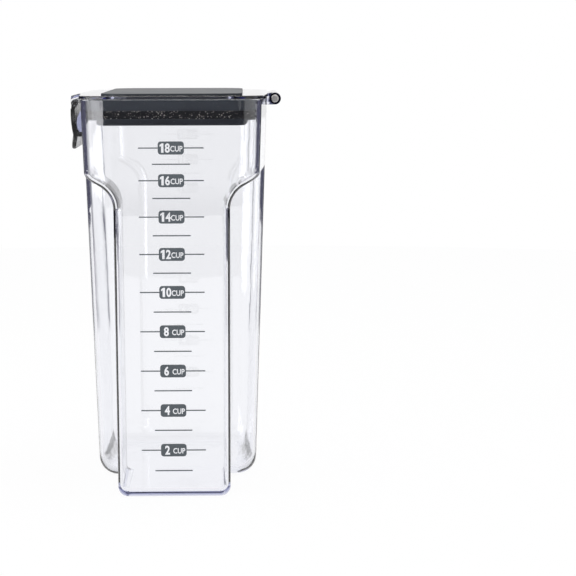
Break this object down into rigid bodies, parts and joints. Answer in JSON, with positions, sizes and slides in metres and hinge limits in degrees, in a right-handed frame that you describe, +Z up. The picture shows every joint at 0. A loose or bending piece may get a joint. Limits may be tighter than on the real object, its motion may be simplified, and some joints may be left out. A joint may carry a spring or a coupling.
{
  "type": "cereal dispenser",
  "caption": "Clear upright food container with a hand-grip column between finger recesses, and a hinged lid with a gasketed plug and a side latch.",
  "frame": {"origin": "centre of the container's resting face", "axes": "+Z up; -Y towards the grip column at the front; +X towards the lid hinge; -X towards the latch"},
  "size_m": [0.1453, 0.197, 0.2726],
  "materials": {
    "clear_plastic": "clear, polished",
    "slate_plastic": "satin",
    "black_plastic": "glossy",
    "seal_rubber": "matt silicone",
    "pin_steel": "satin"
  },
  "bodies": {
    "container": {"container_body": "clear_plastic", "hinge_pin": "pin_steel"},
    "lid": {"lid_frame": "clear_plastic", "lid_panel": "slate_plastic", "lid_plug": "slate_plastic", "lid_gasket": "seal_rubber", "latch_pin": "pin_steel"},
    "latch": {"latch_lever": "black_plastic"}
  },
  "joints": [
    {"name": "lid_hinge", "type": "hinge", "parent": "container", "child": "lid", "pos_m": [0.0698, 0, 0.2679], "axis": [0, 1, 0], "range_deg": [0, 180]},
    {"name": "latch_hinge", "type": "hinge", "parent": "lid", "child": "latch", "pos_m": [-0.0685, 0, 0.2649], "axis": [0, 1, 0], "range_deg": [0, 90]}
  ]
}
